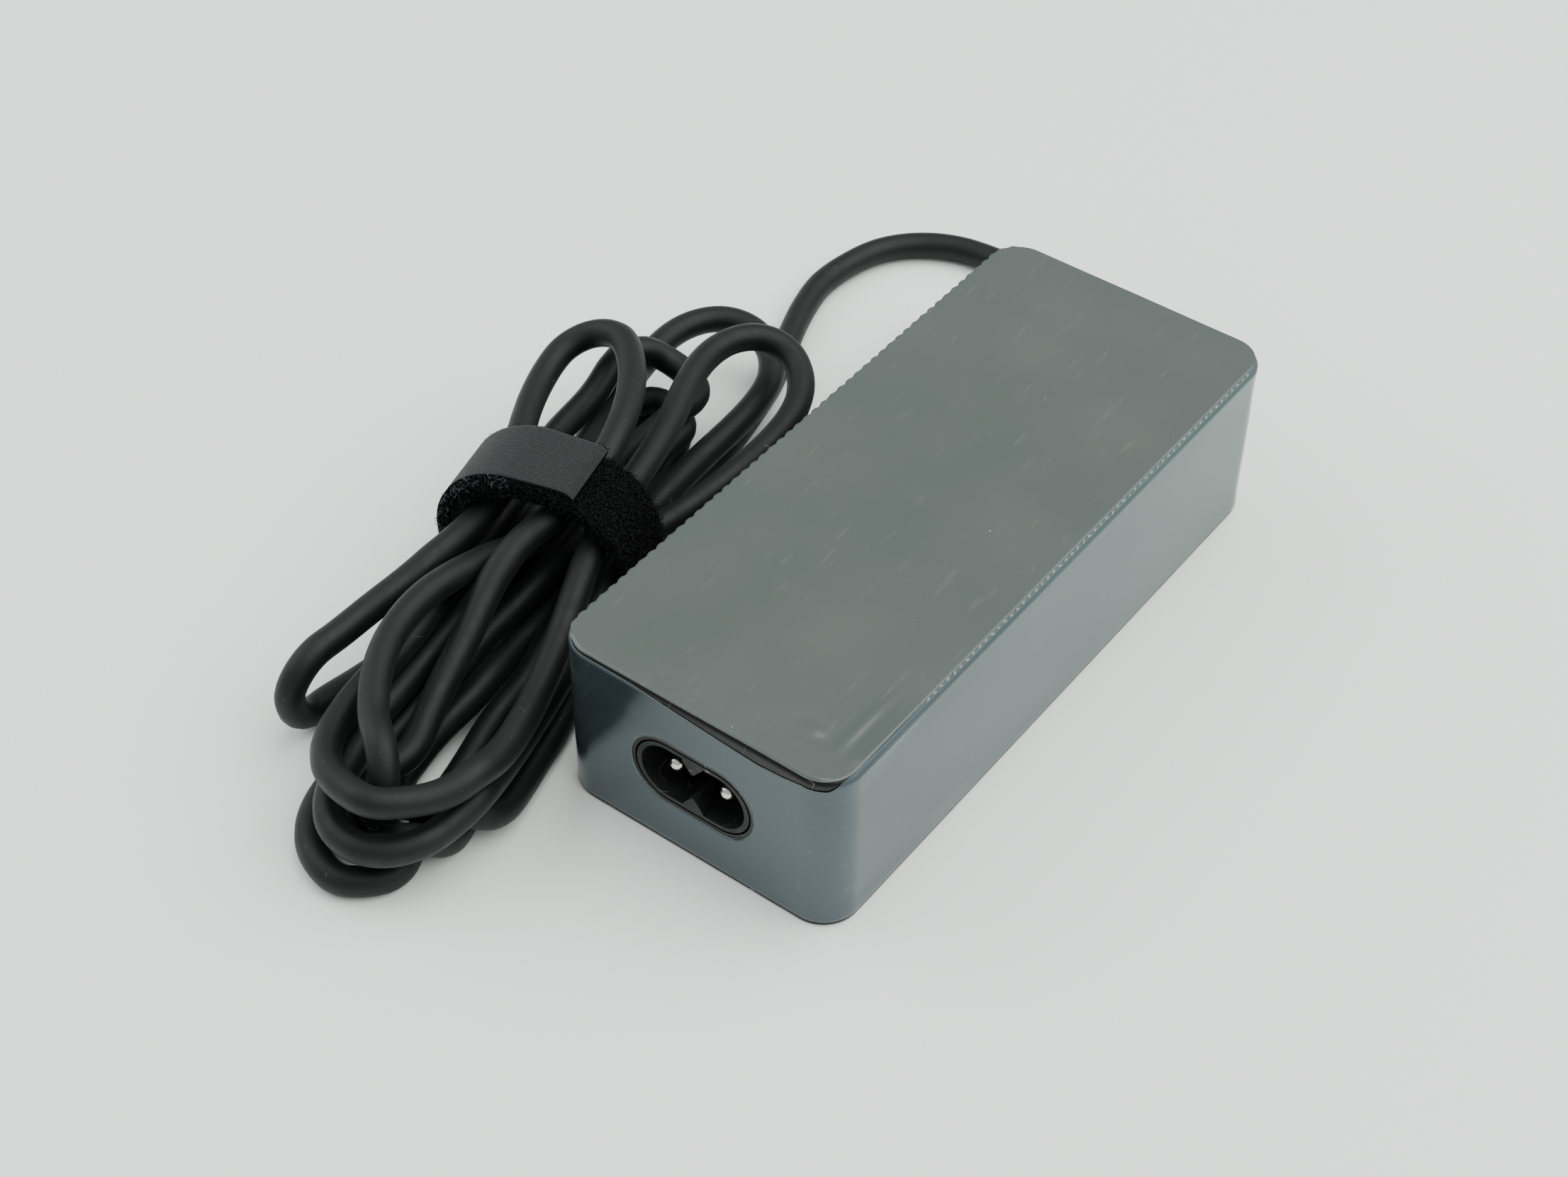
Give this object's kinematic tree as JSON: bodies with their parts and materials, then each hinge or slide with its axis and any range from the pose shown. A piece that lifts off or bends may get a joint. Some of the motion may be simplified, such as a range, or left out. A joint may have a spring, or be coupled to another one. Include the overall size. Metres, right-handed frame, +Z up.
{
  "type": "laptop power adapter",
  "caption": "Slim rounded laptop power adapter in clear shipping film, with a figure-8 mains inlet and its lead folded and strapped beside it.",
  "frame": {"origin": "centre of the casing's underside, on the surface it stands on", "axes": "+Y along the casing's length towards the output lead's end, so the mains inlet faces -Y; +Z up; +X across the casing, away from the strapped lead"},
  "size_m": [0.0961, 0.1701, 0.0284],
  "materials": {
    "casing": "satin black moulded plastic",
    "film": "clear soft shipping film",
    "socket_plastic": "matt dark grey moulded plastic",
    "pin_metal": "bright nickel plate",
    "circuit_board": "green lacquered board",
    "component_brown": "moulded",
    "component_yellow": "moulded or taped yellow",
    "component_black": "moulded black",
    "component_blue": "dipped blue",
    "component_white": "off-white",
    "ferrite": "dark ferrite",
    "copper_wire": "enamelled copper",
    "capacitor_sleeve": "shrink sleeve",
    "heatsink": "bare sheet",
    "wire_red": "insulated wire",
    "cord_rubber": "satin soft jacket",
    "strap_pile": "black loop pile",
    "strap_weave": "dark grey woven back",
    "plug_steel": "satin steel",
    "gold": "gold plate"
  },
  "bodies": {
    "adapter": {"upper_shell": "casing", "lower_cover": "casing", "top_film": "film", "side_film": "film", "inlet_socket": "socket_plastic", "line_pin": "pin_metal", "neutral_pin": "pin_metal", "main_board": "circuit_board", "fuse": "component_brown", "x_capacitor": "component_yellow", "choke_core": "ferrite", "choke_windings": "copper_wire", "bridge_rectifier": "component_black", "bulk_capacitor": "capacitor_sleeve", "primary_heatsink": "heatsink", "switching_transistor": "component_black", "transformer_core": "ferrite", "transformer_winding": "component_yellow", "transformer_bobbin": "component_black", "secondary_heatsink": "heatsink", "rectifier_transistor": "component_black", "output_capacitors": "capacitor_sleeve", "y_capacitor": "component_blue", "optocoupler": "component_white", "control_board": "circuit_board", "output_wires": "wire_red", "heat_spreader": "heatsink", "insulation_sheet": "component_white", "strain_relief": "cord_rubber", "cord_lead": "cord_rubber", "cord_hank": "cord_rubber", "cord_end": "cord_rubber", "strap_band": "strap_pile", "plug_grip": "casing", "plug_shell": "plug_steel", "plug_insert": "component_black", "plug_contacts": "gold"},
    "strap_free_end": {"strap_tail": "strap_weave"}
  },
  "joints": [
    {"name": "strap_peel", "type": "hinge", "parent": "adapter", "child": "strap_free_end", "pos_m": [-0.0619, -0.0307, 0.004], "axis": [0.2419, -0.9703, 0], "range_deg": [0, 100]}
  ]
}
